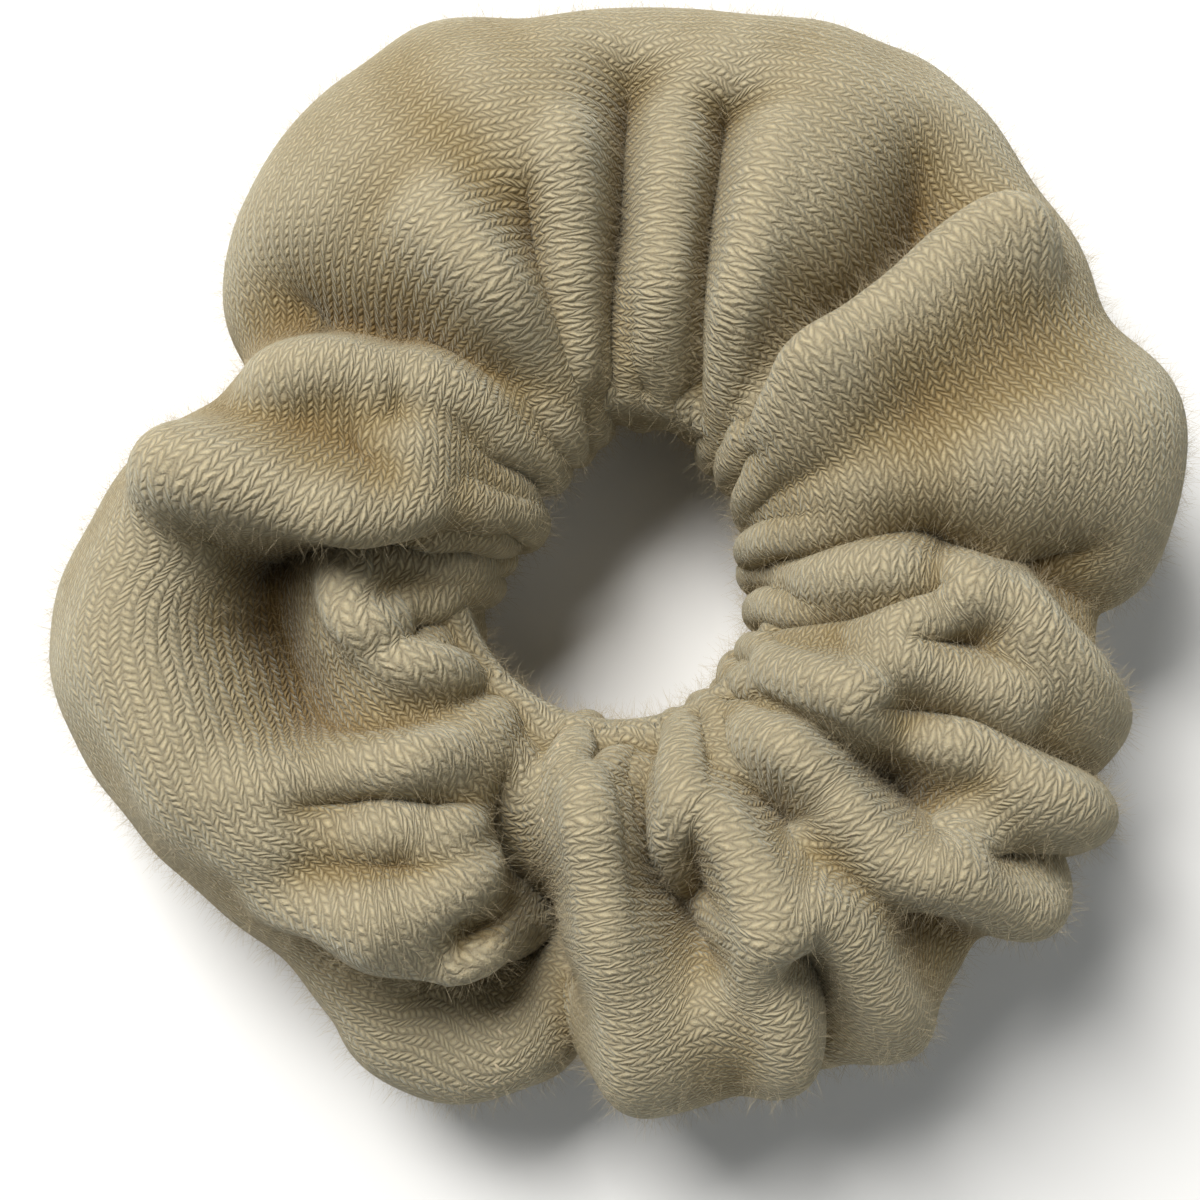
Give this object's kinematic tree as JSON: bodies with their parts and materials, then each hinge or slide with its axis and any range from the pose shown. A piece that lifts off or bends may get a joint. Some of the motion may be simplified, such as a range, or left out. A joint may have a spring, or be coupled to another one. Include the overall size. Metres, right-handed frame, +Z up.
{
  "type": "scrunchie",
  "caption": "Knitted hair scrunchie: a gathered tube of fine stockinette knit around a sewn loop of flat elastic.",
  "frame": {"origin": "centre of the ring, on the surface that the scrunchie lies on", "axes": "+Z up along the ring's axis, out of the opening; +X across the ring, the direction in which it is stretched"},
  "size_m": [0.114, 0.114, 0.036],
  "materials": {
    "knit": "matte",
    "elastic": "matte",
    "thread": "satin"
  },
  "bodies": {
    "left_half": {"sleeve_left": "knit", "elastic_left": "elastic", "elastic_lap_end": "elastic", "elastic_lap_stitches": "thread", "lengthwise_seam_left": "thread", "closing_seam_thread": "thread"},
    "right_half": {"sleeve_right": "knit", "elastic_right": "elastic", "lengthwise_seam_right": "thread"}
  },
  "joints": [
    {"name": "stretch", "type": "slide", "parent": "left_half", "child": "right_half", "axis": [1, 0, 0], "range_m": [0, 0.075], "stiffness_N_per_m": 45}
  ]
}
